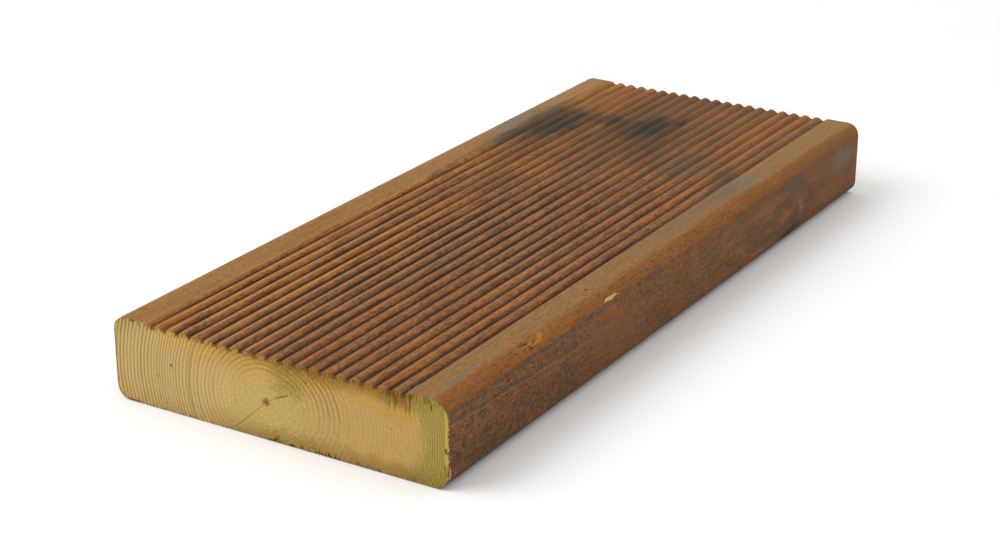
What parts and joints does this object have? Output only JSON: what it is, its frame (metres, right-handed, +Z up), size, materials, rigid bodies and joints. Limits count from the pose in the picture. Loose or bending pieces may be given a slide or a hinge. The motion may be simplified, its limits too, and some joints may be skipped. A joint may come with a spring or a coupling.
{
  "type": "decking board",
  "caption": "Short length of grooved softwood decking board with flat margins, rounded long edges and sawn ends, stained brown on its outside.",
  "frame": {"origin": "middle of the flat underside, halfway along the board", "axes": "+Y along the grain, from the sawn end that the picture shows to the far one; +X across the board to the long edge that the picture shows; +Z up, out of the grooved face"},
  "size_m": [0.145, 0.35, 0.033],
  "materials": {
    "treated_pine": "planed and machined softwood, brown pressure treatment outside, bare pale sawn ends"
  },
  "bodies": {
    "root": {"decking_board": "treated_pine"}
  },
  "joints": []
}
